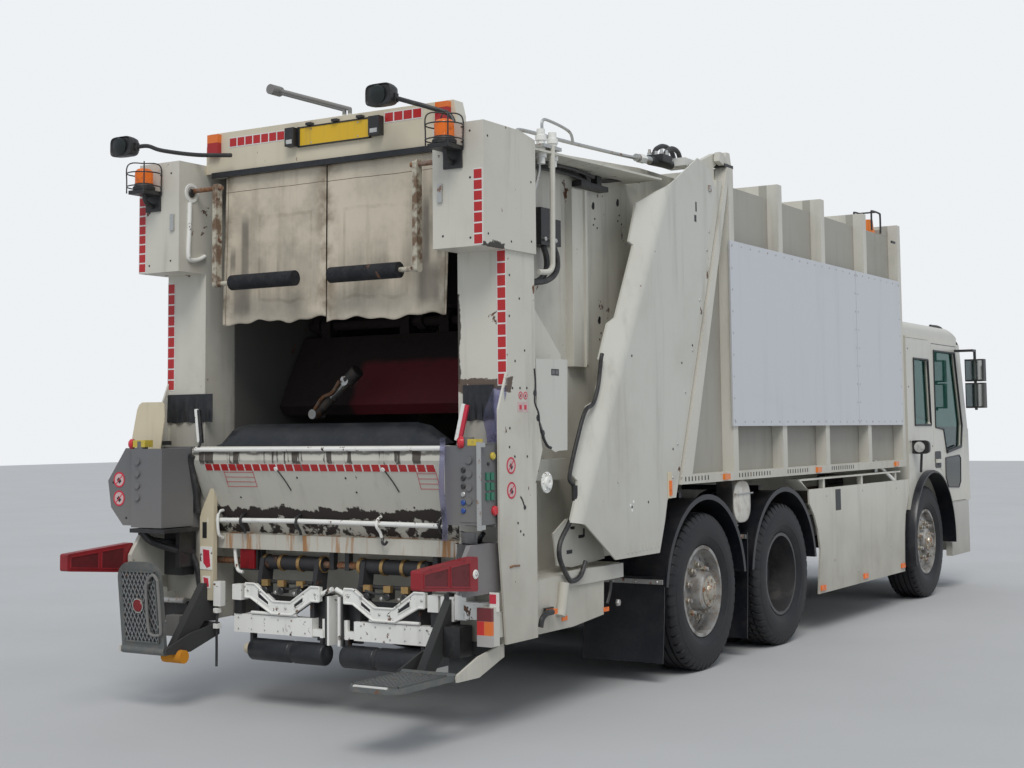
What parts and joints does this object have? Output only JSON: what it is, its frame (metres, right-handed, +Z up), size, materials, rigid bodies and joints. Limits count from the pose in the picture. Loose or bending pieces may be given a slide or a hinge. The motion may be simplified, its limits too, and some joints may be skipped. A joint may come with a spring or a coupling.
{
  "type": "refuse truck",
  "caption": "Low-cab rear-loading refuse truck with ribbed body, hinged tailgate, packer, split bin lifter, container arms and footboards",
  "frame": {"origin": "centre of the bounding box on the ground plane", "axes": "+X points forward along the vehicle, +Y to its left, +Z up"},
  "size_m": [9.81, 3.03, 3.6349],
  "materials": {
    "tyre rubber": "satin",
    "wheel rim": "satin",
    "chassis steel": "matte",
    "engine iron": "matte",
    "mudguard plastic": "satin",
    "skirt paint": "satin",
    "body paint": "satin",
    "silver panel": "satin",
    "cab paint": "gloss",
    "bumper paint": "satin",
    "tinted glass": "gloss",
    "mirror housing": "satin",
    "lifter paint": "satin",
    "arm paint": "satin",
    "tread plate": "satin",
    "black steel": "satin",
    "trim plastic": "matte",
    "seat cloth": "matte",
    "lamp lens": "gloss",
    "tailgate paint": "satin",
    "hopper steel": "satin",
    "cover paint": "satin",
    "control housing": "satin",
    "tail lens": "gloss",
    "curtain sheet": "matte",
    "rusty pipe": "satin",
    "bracket steel": "satin",
    "packer paint": "satin"
  },
  "bodies": {
    "truck": {"axle_beams": "chassis steel", "chassis_frame": "chassis steel", "engine_block": "engine iron", "suspension": "chassis steel", "mudguards": "mudguard plastic", "skirts": "skirt paint", "body_floor": "body paint", "body_walls": "body paint", "body_roof": "body paint", "side_panels": "silver panel", "cab_shell": "cab paint", "cab_roof": "cab paint", "cab_front": "cab paint", "bumper": "bumper paint", "cab_glass": "tinted glass", "dashboard": "trim plastic", "seats": "seat cloth", "vehicle_lamps": "lamp lens"},
    "tailgate": {"tailgate_sides": "tailgate paint", "hopper": "hopper steel", "tailgate_top": "tailgate paint", "upper_boxes": "tailgate paint", "side_covers": "cover paint", "control_boxes": "control housing", "tail_lamps": "tail lens", "curtains": "curtain sheet", "pivot_tubes": "rusty pipe", "rear_brackets": "bracket steel"},
    "packer carriage": {"packer_carriage": "packer paint"},
    "packer blade": {"packer_blade": "packer paint"},
    "front knuckle left": {"front_knuckle_left": "chassis steel"},
    "front wheel left": {"front_tyre_left": "tyre rubber", "front_rim_left": "wheel rim"},
    "tag knuckle left": {"tag_knuckle_left": "chassis steel"},
    "tag wheel left": {"tag_tyre_left": "tyre rubber", "tag_rim_left": "wheel rim"},
    "drive wheels left": {"drive_tyres_left": "tyre rubber", "drive_rims_left": "wheel rim"},
    "door left": {"door_left": "cab paint", "door_glass_left": "tinted glass", "mirror_left": "mirror housing"},
    "lifter left": {"lifter_left": "lifter paint"},
    "container arm left": {"container_arm_left": "arm paint"},
    "footboard left": {"footboard_left": "tread plate"},
    "lid opener left": {"lid_opener_left": "black steel"},
    "front knuckle right": {"front_knuckle_right": "chassis steel"},
    "front wheel right": {"front_tyre_right": "tyre rubber", "front_rim_right": "wheel rim"},
    "tag knuckle right": {"tag_knuckle_right": "chassis steel"},
    "tag wheel right": {"tag_tyre_right": "tyre rubber", "tag_rim_right": "wheel rim"},
    "drive wheels right": {"drive_tyres_right": "tyre rubber", "drive_rims_right": "wheel rim"},
    "door right": {"door_right": "cab paint", "door_glass_right": "tinted glass", "mirror_right": "mirror housing"},
    "lifter right": {"lifter_right": "lifter paint"},
    "container arm right": {"container_arm_right": "arm paint"},
    "footboard right": {"footboard_right": "tread plate"},
    "lid opener right": {"lid_opener_right": "black steel"}
  },
  "joints": [
    {"name": "front steering left", "type": "hinge", "parent": "truck", "child": "front knuckle left", "pos_m": [3.46, 0.83, 0.516], "axis": [0, 0, 1], "range_deg": [-38, 38]},
    {"name": "front roll left", "type": "hinge", "parent": "front knuckle left", "child": "front wheel left", "pos_m": [3.46, 1.085, 0.516], "axis": [0, 1, 0], "continuous": true},
    {"name": "tag steering left", "type": "hinge", "parent": "truck", "child": "tag knuckle left", "pos_m": [-1.51, 0.83, 0.516], "axis": [0, 0, 1], "range_deg": [-14, 14]},
    {"name": "tag roll left", "type": "hinge", "parent": "tag knuckle left", "child": "tag wheel left", "pos_m": [-1.51, 1.085, 0.516], "axis": [0, 1, 0], "continuous": true},
    {"name": "drive roll left", "type": "hinge", "parent": "truck", "child": "drive wheels left", "pos_m": [-0.14, 0.915, 0.516], "axis": [0, 1, 0], "continuous": true},
    {"name": "door hinge left", "type": "hinge", "parent": "truck", "child": "door left", "pos_m": [4.71, 1.245, 1.5], "axis": [0, 0, -1], "range_deg": [0, 75]},
    {"name": "lifter pivot left", "type": "hinge", "parent": "tailgate", "child": "lifter left", "pos_m": [-3.88, 0.31, 0.828], "axis": [0, 1, 0], "range_deg": [0, 90]},
    {"name": "container arm pivot left", "type": "hinge", "parent": "tailgate", "child": "container arm left", "pos_m": [-4.33, 1.215, 0.862], "axis": [0, 1, 0], "range_deg": [0, 85]},
    {"name": "footboard hinge left", "type": "hinge", "parent": "tailgate", "child": "footboard left", "pos_m": [-4.39, 0.999, 0.345], "axis": [0, -1, 0], "range_deg": [0, 84]},
    {"name": "lid opener pivot left", "type": "hinge", "parent": "tailgate", "child": "lid opener left", "pos_m": [-4.095, 0.73, 3.05], "axis": [0, 1, 0], "range_deg": [0, 60]},
    {"name": "front steering right", "type": "hinge", "parent": "truck", "child": "front knuckle right", "pos_m": [3.46, -0.83, 0.516], "axis": [0, 0, 1], "range_deg": [-38, 38]},
    {"name": "front roll right", "type": "hinge", "parent": "front knuckle right", "child": "front wheel right", "pos_m": [3.46, -1.085, 0.516], "axis": [0, 1, 0], "continuous": true},
    {"name": "tag steering right", "type": "hinge", "parent": "truck", "child": "tag knuckle right", "pos_m": [-1.51, -0.83, 0.516], "axis": [0, 0, 1], "range_deg": [-14, 14]},
    {"name": "tag roll right", "type": "hinge", "parent": "tag knuckle right", "child": "tag wheel right", "pos_m": [-1.51, -1.085, 0.516], "axis": [0, 1, 0], "continuous": true},
    {"name": "drive roll right", "type": "hinge", "parent": "truck", "child": "drive wheels right", "pos_m": [-0.14, -0.915, 0.516], "axis": [0, 1, 0], "continuous": true},
    {"name": "door hinge right", "type": "hinge", "parent": "truck", "child": "door right", "pos_m": [4.71, -1.245, 1.5], "axis": [0, 0, 1], "range_deg": [0, 75]},
    {"name": "lifter pivot right", "type": "hinge", "parent": "tailgate", "child": "lifter right", "pos_m": [-3.88, -0.43, 0.828], "axis": [0, 1, 0], "range_deg": [0, 90]},
    {"name": "container arm pivot right", "type": "hinge", "parent": "tailgate", "child": "container arm right", "pos_m": [-4.33, -1.215, 0.862], "axis": [0, 1, 0], "range_deg": [0, 85]},
    {"name": "footboard hinge right", "type": "hinge", "parent": "tailgate", "child": "footboard right", "pos_m": [-4.39, -0.999, 0.345], "axis": [0, 1, 0], "range_deg": [0, 84]},
    {"name": "lid opener pivot right", "type": "hinge", "parent": "tailgate", "child": "lid opener right", "pos_m": [-4.095, -0.73, 3.05], "axis": [0, 1, 0], "range_deg": [0, 60]},
    {"name": "tailgate hinge", "type": "hinge", "parent": "truck", "child": "tailgate", "pos_m": [-1.14, 0, 3.46], "axis": [0, 1, 0], "range_deg": [0, 85]},
    {"name": "packer slide", "type": "slide", "parent": "tailgate", "child": "packer carriage", "axis": [-0.6097, 0, -0.7926], "range_m": [0, 0.55]},
    {"name": "packer blade hinge", "type": "hinge", "parent": "packer carriage", "child": "packer blade", "pos_m": [-3.01, 0, 2.28], "axis": [0, -1, 0], "range_deg": [0, 60]}
  ],
  "couplings": [
    {"joint": "tag steering left", "follows": "front steering left", "ratio": -0.35},
    {"joint": "front steering right", "follows": "front steering left", "ratio": 1},
    {"joint": "tag steering right", "follows": "front steering left", "ratio": -0.35}
  ]
}
